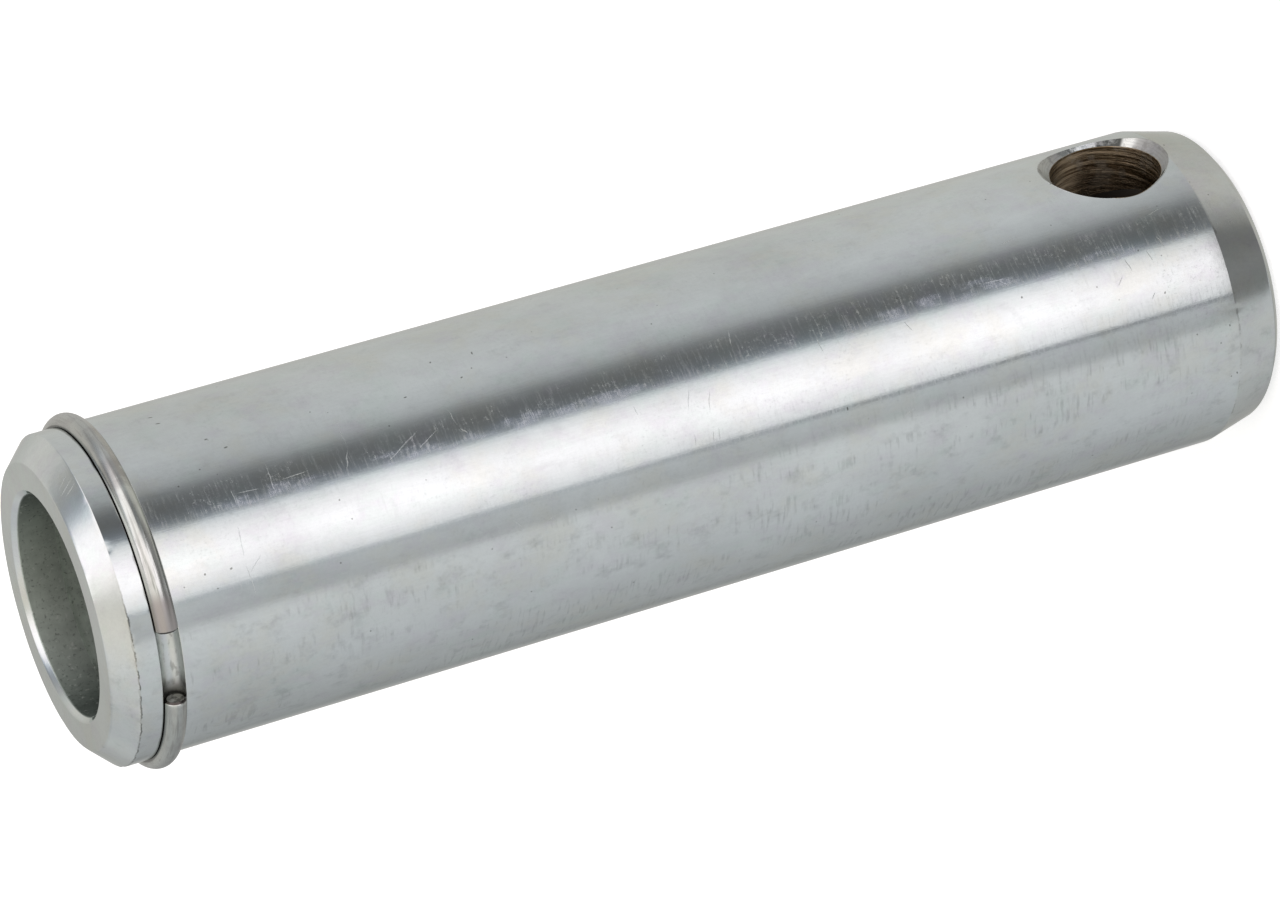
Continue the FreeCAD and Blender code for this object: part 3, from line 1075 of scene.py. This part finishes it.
@dataclass(frozen=True)
class ZincPlate:
    """Bright zinc plate over drawn and turned steel, scuffed by handling, with painted light and shade:
    a painted light side and painted dark depth in the bore, painted shade deep in the cross hole and
    in the groove beside the ring, and a painted bluish reflection tint along the veils.

    The veils, scratches and pits are marks on the unrolled shank: distance round from the middle of the
    photographed side and height of one end, then of the other. The weights say what each mask adds to
    the brightness, to the roughness and to the height in millimetres.
    """

    body: PinBody
    ring: SnapRing
    plain: Rgb = (0.660, 0.690, 0.680)
    straw: Rgb = (0.676, 0.692, 0.648)
    lilac: Rgb = (0.674, 0.680, 0.694)
    leaf: Rgb = (0.645, 0.694, 0.668)
    # Painted bluish reflection tint, laid along the veils.
    blue_reflection_tone: Rgb = (0.60, 0.64, 0.74)
    # Painted light and painted shade: the bore's lit and shaded tones, mixed by which side of the bore the
    # wall is on.
    bore_painted_light: Rgb = (0.455, 0.505, 0.455)
    bore_painted_shade: Rgb = (0.165, 0.19, 0.172)
    bore_fleck: Rgb = (0.62, 0.65, 0.61)
    # Painted shade deep in the bore and in the cross hole.
    painted_depth_shade: Rgb = (0.024, 0.013, 0.006)
    drilled_dark: Rgb = (0.130, 0.088, 0.045)
    drilled_light: Rgb = (0.55, 0.43, 0.29)
    drilled_dull: Rgb = (0.42, 0.37, 0.30)
    torn_tone: Rgb = (0.045, 0.048, 0.044)
    blend_tone: Rgb = (0.28, 0.255, 0.24)
    # Grime for the pits, specks and rims; in the groove the same colour also carries painted shade.
    grime_and_shade: Rgb = (0.195, 0.20, 0.182)
    glance: Rgb = (0.90, 0.92, 0.91)
    brightness: float = 1.02
    gloss: float = 0.095
    least_rough: float = 0.07
    shade: Weights = (
        ("hazy", -0.05), ("stroke", -0.16), ("scuff", -0.04), ("drawn", -0.07), ("fine", -0.08),
        ("clouds", -0.20), ("broad", -0.34), ("blot", -0.19), ("end_face", -0.09),
    )
    rough: Weights = (
        ("haze", 0.10), ("scratch", 0.28), ("scuff", 0.08), ("stroke", 0.10), ("hair", 0.14),
        ("veil_and_reflection", 0.13), ("grit", 0.11), ("blot", 0.03), ("lathe", 0.06), ("groove", 0.22), ("bore", 0.50),
        ("drilled", 0.25), ("grime_and_shade", 0.20), ("sunk", 0.10), ("chewed", 0.15), ("blended", 0.28),
    )
    height: Weights = (
        ("fine", 0.0016), ("filled", -0.0010), ("drawn", 0.0012), ("haze", 0.0040), ("stroke", -0.0012),
        ("scratch", -0.0015), ("blot", -0.0010), ("lathe", 0.0014), ("tooling", 0.10), ("torn", 0.06),
        ("grain", 0.02),
    )
    # Veils along the edge of the dark reflected band: real roughness with a painted bluish reflection
    # tint.
    reflection_veils: tuple[tuple[float, ...], ...] = (
        (4.3, 102.6, 4.6, 95.0), (4.2, 96.6, 3.9, 90.0), (4.1, 89.8, 4.3, 82.2), (4.2, 83.6, 4.0, 77.0),
        (4.1, 78.2, 4.4, 71.4), (4.0, 72.0, 4.2, 61.5), (4.3, 42.8, 4.1, 34.6), (4.7, 36.0, 4.1, 29.2),
        (5.0, 31.8, 4.3, 25.2), (4.1, 26.2, 4.3, 18.6), (4.2, 19.6, 4.0, 11.4),
    )
    scratches: tuple[tuple[float, ...], ...] = (
        (6.73, 10.79, 7.17, 8.90), (8.00, 25.35, 8.25, 23.58), (4.73, 28.62, 4.60, 26.03),
        (3.42, 14.61, 1.95, 14.26), (3.57, 12.26, 2.41, 12.00), (4.58, 10.77, 3.35, 10.37),
        (4.59, 27.05, 3.97, 26.30), (7.47, 97.19, 3.38, 97.39), (5.68, 100.95, 4.04, 100.93),
        (5.06, 100.82, 4.86, 98.23), (7.48, 80.05, 5.21, 79.76), (5.21, 79.76, 4.55, 79.18),
        (6.28, 82.92, 3.89, 87.15), (5.81, 81.41, 4.25, 84.11), (6.37, 89.83, 3.99, 90.76),
        (9.89, 89.67, 6.28, 89.87), (5.09, 96.75, 5.28, 93.80), (2.69, 101.41, -0.67, 101.84),
        (-0.67, 101.84, -4.52, 101.41), (-3.98, 77.44, -4.81, 76.74), (7.38, 52.85, 5.61, 53.34),
        (3.07, 58.59, 0.92, 59.26), (2.55, 56.73, 0.08, 57.49), (-1.07, 56.95, -2.36, 57.20),
        (-1.20, 57.48, -2.13, 57.72), (-1.07, 59.29, -2.19, 59.50), (2.88, 64.01, 1.83, 63.91),
        (4.03, 45.51, 2.55, 45.40), (3.54, 37.12, 2.22, 36.53), (-4.62, 73.84, -4.73, 74.44),
        (-7.82, 56.22, -8.49, 56.36), (-9.34, 48.27, -8.88, 47.06), (-0.96, 13.26, -0.36, 12.67),
        (11.34, 114.42, 12.06, 113.43), (10.55, 114.52, 11.34, 113.15), (10.12, 114.14, 10.64, 113.13),
        (-1.96, 101.64, -0.44, 100.12), (1.11, 16.12, 1.85, 15.33), (-4.73, 39.35, -4.36, 38.28),
    )
    pits: tuple[tuple[float, ...], ...] = (
        (12.93, 79.16, 12.80, 79.20), (10.07, 77.40, 10.00, 77.50), (12.69, 75.25, 12.40, 75.35),
        (9.62, 82.91, 9.60, 83.10), (-0.59, 11.80, -0.70, 11.85), (2.56, 25.45, 2.50, 25.50),
        (16.52, 104.15, 16.40, 103.8), (11.16, 100.85, 11.10, 101.0), (-1.04, 103.05, -1.10, 103.15),
        (-0.89, 105.47, -0.95, 105.50), (15.06, 103.97, 15.00, 103.6), (9.66, 99.90, 9.70, 99.60),
        (15.62, 16.55, 15.50, 16.20), (13.50, 17.15, 13.60, 16.90), (14.95, 4.35, 14.80, 4.40),
        (-10.20, 5.46, -10.35, 5.40), (-5.22, 6.02, -5.30, 6.00), (-2.82, 44.67, -2.60, 44.66),
    )

    def _wear(self, spot: Spot) -> Masks:
        """Marks that handling left on the outside.

        Args:
            spot: The point that is being shaded.

        Returns:
            The marks by name, from 0 to 1, and the drawn and fine grain, from -0.5 to 0.5.
        """
        body = self.body
        end = body.shank_radius - body.end_chamfer
        outside = spot.reach.rises(end - 0.4, end)
        groove = body.groove_height - body.groove_radius
        plain = spot.z.falls(groove - 0.25, groove - 0.05)
        below = spot.across.near(-13.0, 6.5, 3.5)
        edges = spot.across.near(5.2, 1.1, 0.9).larger(spot.across.near(-1.9, 0.7, 0.6) * 0.5)
        shank = spot.reach.rises(body.shank_radius - 0.4, body.shank_radius - 0.2)
        shank = shank * plain * spot.z.rises(body.lead_in - 0.1, 14.0)
        rubbed = spot.noise(0.5, 2.9, 1.0, 0.5)
        rows = spot.noise(0.4, 0.07, 3.0, 0.6)
        where = spot.noise(0.16, 0.16, 3.0, 0.6, (0.48, 6.4, 1.44))
        fine = spot.noise(3.1, 3.1, 3.0, 0.65)
        hairs = spot.noise(0.6, 5.5, 2.0, 0.6)
        blots = spot.noise(0.62, 0.46, 4.0, 0.64, (11.0, 0.0, 5.0))
        patches = spot.noise(0.7, 0.33, 3.0, 0.58)
        chosen = spot.noise(0.45, 0.45, 1.0, 0.5)
        inputs = {"Vector": spot.point, "Scale": 0.62, "Randomness": 1.0}
        cells = spot.bench.add("ShaderNodeTexVoronoi", None, inputs)
        rubbed_rows = rubbed.rises(0.50, 0.72) * rows.rises(0.44, 0.62)
        gritty = fine.rises(0.48, 0.64) * patches.rises(0.38, 0.60)
        return {
            "scratch": spot.marks(self.scratches, 0.055) * outside * (0.35 + fine),
            "pit": spot.marks(self.pits, 0.10) * outside,
            "stroke": rubbed_rows * (below * 0.8 + 0.2) * shank,
            "drawn": spot.noise(6.0, 0.35, 2.0, 0.6) - 0.5,
            "fine": fine - 0.5,
            "scuff": fine.rises(0.57, 0.68) * where.rises(0.42, 0.62) * outside,
            "grit": gritty * spot.across.near(5.2, 1.2, 0.9) * plain,
            "hair": hairs.rises(0.44, 0.72) * edges * plain,
            # Veils: real roughness and a painted bluish reflection tint.
            "veil_and_reflection": spot.marks(self.reflection_veils, 0.80) * patches.rises(0.38, 0.62) * plain,
            "blot": blots.rises(0.50, 0.78) * (below * 0.6 + 0.4) * outside,
            "speck": cells.falls(0.03, 0.065) * chosen.rises(0.51, 0.54) * outside * plain,
        }

    def _plated(self, spot: Spot, masks: Masks) -> Signal:
        """Colour of the plate, tinted and shaded by haze and wear.

        Args:
            spot: The point that is being shaded.
            masks: The masks so far, to which its own are added.

        Returns:
            The colour.
        """
        clouds = spot.noise(0.15, 0.15, 5.0, 0.65)
        haze = spot.noise(0.45, 0.30, 5.0, 0.7, (31.0, 7.0, 0.0))
        hues = spot.noise(0.36, 0.24, 4.0, 0.65, (2.4, 56.8, 16.0))
        tone = spot.bench.mix(clouds.rises(0.46, 0.64) * 0.8, self.plain, self.straw)
        tone = spot.bench.mix(haze.rises(0.50, 0.66) * 0.8, tone, self.lilac)
        tone = spot.bench.mix(hues.rises(0.52, 0.66) * 0.8, tone, self.leaf)
        # Painted bluish reflection tint along the veils.
        tone = spot.bench.mix(masks["veil_and_reflection"] * 0.5, tone, self.blue_reflection_tone)
        end_face = spot.z.rises(self.body.length - 0.2, self.body.length - 0.05)
        masks["clouds"] = clouds - 0.5
        masks["haze"] = haze - 0.5
        masks["hazy"] = haze.rises(0.42, 0.70)
        masks["broad"] = spot.noise(0.10, 0.055, 2.0, 0.5) - 0.5
        masks["end_face"] = end_face * spot.bench.dot(spot.point, (-0.078, -0.029, 0.0)).rises(-0.2, 0.8)
        return spot.bench.scaled(tone, weighed(self.brightness, masks, self.shade))

    def _soiled_and_shaded(self, spot: Spot, masks: Masks, tone: Signal) -> Signal:
        """Lay grime in the pits and along the rims, and grime with painted shade in the groove: painted
        shade along the groove's sides beside the ring, and a painted shadow just past the ring's lower
        end.

        Args:
            spot: The point that is being shaded.
            masks: The masks so far, to which its own are added.
            tone: The colour under the grime.

        Returns:
            The colour.
        """
        body, ring = self.body, self.ring
        shank = body.shank_radius
        degrees = spot.turn * DEGREES
        low_end = ring.gap_middle - ring.gap / 2
        groove = spot.reach.falls(shank - 0.07, shank - 0.01)
        groove = groove * spot.z.near(body.groove_height, body.groove_radius + 0.05, 0.05)
        open_part = degrees.near(ring.gap_middle, 11.5, 1.0)
        # Painted shade on the groove's sides, strong beside the ring and weak in its gap.
        side_shade = abs(spot.z - body.groove_height).rises(0.45, 0.95) * (0.95 - open_part * 0.78)
        # Painted shadow on the groove just past the ring's lower end.
        end = degrees.falls(low_end + 0.15, low_end + 3.95)
        stain = spot.noise(0.8, 2.2, 3.0, 0.6, (0.0, 0.0, 5.0))
        # Real stain together with the painted shade of the groove.
        dirt_and_shade = side_shade.larger(end * 0.80).larger(stain.rises(0.55, 0.68) * 0.42)
        masks["groove"] = groove
        masks["grime_and_shade"] = groove * dirt_and_shade
        edge = spot.noise(1.1, 1.1, 4.0, 0.7)
        waver = spot.z + (edge - 0.5) * 0.5
        rims = waver.near(body.length - body.end_chamfer - 0.02, 0.02, 0.09)
        rims = rims * spot.reach.rises(shank - 0.5, shank - 0.3) * spot.across.falls(-3.0, 1.0)
        rims = rims * (edge.rises(0.40, 0.56) * 0.7 + 0.25)
        foot = waver.near(body.lead_in, 0.03, 0.12) * spot.reach.rises(shank - 0.4, shank - 0.2)
        foot = foot * edge.rises(0.50, 0.62)
        dark = (masks["pit"] * 0.85).larger(masks["speck"] * 0.75)
        dark = dark.larger(rims).larger(foot * 0.35).larger(masks["grime_and_shade"])
        return spot.bench.mix(dark, tone, self.grime_and_shade)

    def _bored(self, spot: Spot, masks: Masks, tone: Signal) -> Signal:
        """Dull the bore, with painted light on one side and painted shade darkening its depth.

        Args:
            spot: The point that is being shaded.
            masks: The masks so far, to which its own are added.
            tone: The colour elsewhere.

        Returns:
            The colour.
        """
        body = self.body
        bore = spot.reach.falls(body.bore_radius + 0.03, body.bore_radius + 0.12)
        grain = spot.noise(0.9, 0.7, 4.0, 0.62)
        # Painted light: the bore wall lighter on one side.
        painted_light_side = spot.bench.dot(spot.point, (-0.0454, 0.0891, 0.0)).rises(0.2, 0.99)
        inner = spot.bench.mix(painted_light_side, self.bore_painted_shade, self.bore_painted_light)
        inner = spot.bench.scaled(inner, 1.0 - (grain - 0.5) * 0.62)
        flecks = spot.noise(2.2, 2.2, 2.0, 0.7).rises(0.61, 0.70)
        inner = spot.bench.mix(flecks * 0.6, inner, self.bore_fleck)
        inner = spot.bench.scaled(inner, 1.0 - masks["fine"].rises(0.06, 0.16) * 0.35)
        tone = spot.bench.mix(bore, tone, inner)
        masks["bore"] = bore
        masks["grain"] = (grain - 0.5) * bore
        # Painted shade: the bore darker towards its lower end.
        return spot.bench.mix(bore * spot.z.falls(22.0, 62.0), tone, self.painted_depth_shade)

    def _drilled(self, spot: Spot, masks: Masks, tone: Signal) -> Signal:
        """Bare the brown steel of the cross hole, with painted shade deep inside it, and tear and blend
        its countersinks.

        Args:
            spot: The point that is being shaded.
            masks: The masks so far, to which its own are added.
            tone: The colour elsewhere.

        Returns:
            The colour.
        """
        body = self.body
        bench = spot.bench
        depth = abs(spot.x)
        around = bench.length(bench.combine(0.0, spot.y, spot.z - body.hole_height))
        past_wall = around.rises(body.hole_radius + 0.035, body.hole_radius + 0.065)
        drilled = (1.0 - past_wall) * spot.reach.rises(body.bore_radius - 0.1, body.bore_radius + 0.05)
        tooling = bench.combine(depth * 3.6, spot.y * 0.13, spot.z * 0.13)
        tooling = bench.noise(tooling, 1.0, 5.0, 0.75)
        wall = bench.mix(tooling.rises(0.43, 0.62), self.drilled_dark, self.drilled_light)
        wall = bench.mix(spot.noise(0.5, 0.5, 3.0, 0.6).rises(0.50, 0.62) * 0.5, wall, self.drilled_dull)
        # Painted shade: the hole's wall darker away from its mouths.
        wall = bench.mix(depth.rises(9.4, 13.0) * 0.62 + 0.38, self.painted_depth_shade, wall)
        tone = bench.mix(drilled, tone, wall)

        y = spot.y - body.sink_wander
        z = spot.z - (body.hole_height + body.sink_rise)
        cone = bench.length(bench.combine(0.0, y, z)) - depth + (body.shank_radius - body.sink_radius)
        sunk = abs(cone).falls(0.05, 0.09) * depth.rises(8.0, 9.0) * past_wall
        side = bench.angle(z, y) * DEGREES
        torn = spot.noise(0.9, 0.9, 4.0, 0.7)
        rings = bench.noise(bench.combine(around * 5.0, 0.0, 0.0), 1.0, 2.0, 0.6)
        chewed = side.near(-36.0, 11.0, 5.0) * (torn.rises(0.40, 0.54) * 0.3 + 0.7)
        chewed = chewed.larger(side.near(6.0, 4.0, 4.0) * torn.rises(0.40, 0.55) * 0.6)
        chewed = chewed.larger(torn.rises(0.50, 0.62) * 0.34).larger(rings.rises(0.52, 0.64) * 0.20)
        left = sunk * side.near(78.0, 48.0, 15.0)
        right = sunk * side.near(-94.0, 27.0, 9.0)
        masks["drilled"] = drilled
        masks["tooling"] = tooling * drilled
        masks["sunk"] = sunk
        masks["torn"] = torn * sunk
        masks["chewed"] = sunk * chewed
        masks["blended"] = left.larger(right)
        tone = bench.mix(masks["chewed"] * 0.95, tone, self.torn_tone)
        blend = left * (0.12 + torn * 0.2) + right * (0.38 + torn * 0.25)
        return bench.mix(blend, tone, self.blend_tone)

    def build(self) -> bpy.types.Material:
        """Make the finish.

        Returns:
            The material.
        """
        body = self.body
        material, bench = Bench.of_material("zinc_plate")
        spot = Spot.on(bench, body.shank_radius)
        masks = self._wear(spot)
        tone = self._plated(spot, masks)
        tone = self._soiled_and_shaded(spot, masks, tone)
        tone = self._bored(spot, masks, tone)
        tone = self._drilled(spot, masks, tone)
        chamfer = body.length - body.end_chamfer
        bore = body.bore_radius + body.bore_chamfer
        turned = spot.z.rises(chamfer - 0.1, chamfer + 0.1)
        turned = turned.larger(spot.z.falls(body.lead_in - 0.1, body.lead_in + 0.1))
        turned = turned * spot.reach.rises(bore + 0.1, bore + 0.3)
        rows = bench.combine(spot.reach * 5.0, spot.z * 5.0, spot.x * 0.2)
        masks["lathe"] = turned * bench.noise(rows, 1.0, 3.0, 0.7)
        masks["filled"] = turned * masks["fine"]
        rough = weighed(self.gloss, masks, self.rough).larger(self.least_rough)
        bench.metal(tone, rough, weighed(0.0, masks, self.height), self.glance)
        return material


@dataclass(frozen=True)
class SpringWire:
    """Drawn spring wire, warm grey, with a painted highlight, a painted dark reflection and a painted
    shade line where it meets the groove's edges.
    """

    ring: SnapRing
    plain: Rgb = (0.615, 0.640, 0.600)
    worn: Rgb = (0.540, 0.545, 0.520)
    streak: Rgb = (0.340, 0.345, 0.320)
    # Painted highlight: colour of the lighter streak down the wire.
    painted_highlight: Rgb = (0.780, 0.785, 0.760)
    stain: Rgb = (0.455, 0.415, 0.400)
    # Painted dark reflection: colour laid over part of the wire.
    dark_reflection_tone: Rgb = (0.29, 0.275, 0.265)
    # Painted shade line where the wire meets the groove's edges.
    shade_line_tone: Rgb = (0.05, 0.05, 0.045)
    cut_edge: Rgb = (0.09, 0.08, 0.075)
    cut_light: Rgb = (0.54, 0.54, 0.51)
    cut_dark: Rgb = (0.15, 0.15, 0.14)
    gloss: float = 0.25
    shade: Weights = (("lower", -0.22),)
    rough: Weights = (("clouds", 0.14), ("browned", 0.12), ("face", 0.15))
    height: Weights = (("drawn", 0.014), ("clouds", 0.004))

    def build(self) -> bpy.types.Material:
        """Make the finish.

        Returns:
            The material.
        """
        ring = self.ring
        material, bench = Bench.of_material("drawn_wire")
        spot = Spot.on(bench, ring.bend_radius)
        up = spot.z - ring.height
        out = spot.reach - ring.bend_radius
        degrees = spot.turn * DEGREES
        upper_end = ring.gap_middle + ring.gap / 2
        lower_end = ring.gap_middle - ring.gap / 2
        lines = bench.combine(spot.turn * ring.bend_radius * 0.22, bench.angle(up, out) * 3.2, 0.0)
        drawn = bench.noise(lines, 1.0, 3.0, 0.65)
        clouds = spot.noise(0.6, 0.6, 4.0, 0.6)
        mottle = spot.noise(1.6, 1.6, 3.0, 0.6)
        browned = degrees.falls(upper_end + 8.85, upper_end + 14.85)
        browned = browned * degrees.rises(upper_end - 2.15, upper_end - 0.15)
        # Painted dark reflection: the wire darker round -18 degrees and, more lightly, from -16 degrees
        # on.
        painted_dark_reflection = degrees.near(-18.0, 3.0, 6.0) * clouds.rises(0.30, 0.5)
        painted_dark_reflection = (painted_dark_reflection * 0.6).larger(degrees.rises(-16.0, -4.0) * 0.35)
        # Painted shade line along the wire's top and bottom, where it meets the groove's edges.
        shade_line = out.falls(0.08, 0.24) * up.rises(0.86, 0.94).larger(up.falls(-0.96, -0.90) * 0.5)
        middle = bench.length(bench.combine(up, out, 0.0))
        face = middle.falls(0.72, 0.80)
        lower = degrees.falls(lower_end - 1.15, lower_end - 0.25)
        masks = {"clouds": clouds - 0.5, "drawn": drawn, "browned": browned, "face": face, "lower": lower}
        tone = bench.mix(clouds.rises(0.42, 0.66), self.plain, self.worn)
        tone = bench.mix(drawn.rises(0.48, 0.64) * 0.55, tone, self.streak)
        # Painted highlight: a lighter streak along the wire round -52 degrees.
        tone = bench.mix(degrees.near(-52.0, 6.0, 7.0) * drawn.falls(0.46, 0.60) * 0.8, tone, self.painted_highlight)
        tone = bench.mix(browned * 0.8, tone, self.stain)
        tone = bench.mix(painted_dark_reflection, tone, self.dark_reflection_tone)
        tone = bench.mix(shade_line * 0.85, tone, self.shade_line_tone)
        tone = bench.mix(middle.falls(0.93, 0.97), tone, self.cut_edge)
        tone = bench.mix(face, tone, self.cut_light)
        tone = bench.mix(face * mottle.rises(0.44, 0.58) * 0.85, tone, self.cut_dark)
        tone = bench.scaled(tone, weighed(1.0, masks, self.shade))
        bench.metal(tone, weighed(self.gloss, masks, self.rough), weighed(0.0, masks, self.height))
        return material


def dress(piece: bpy.types.Object, node: str, material: bpy.types.Material) -> None:
    """Give a piece its finish and let it stand for its CAD node.

    Args:
        piece: The piece.
        node: The CAD node that it stands for.
        material: The finish.
    """
    piece.data.materials.clear()
    piece.data.materials.append(material)
    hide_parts(node)
    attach(piece, "root")
    LOG.info("%s stands for %s, %d faces", piece.name, node, len(piece.data.polygons))


def main() -> None:
    """Build the camera, the studio and the two pieces."""
    logging.basicConfig(level=logging.INFO, format="%(message)s")
    PhotoCamera().build()
    studio = Studio()
    studio.build_world()
    studio.build_floor()
    bpy.context.scene.view_settings.view_transform = "Standard"
    body = PinBody()
    ring = SnapRing()
    dress(body.build(), "pin_body", ZincPlate(body, ring).build())
    dress(ring.build(), "snap_ring", SpringWire(ring).build())


if __name__ == "__main__":
    main()
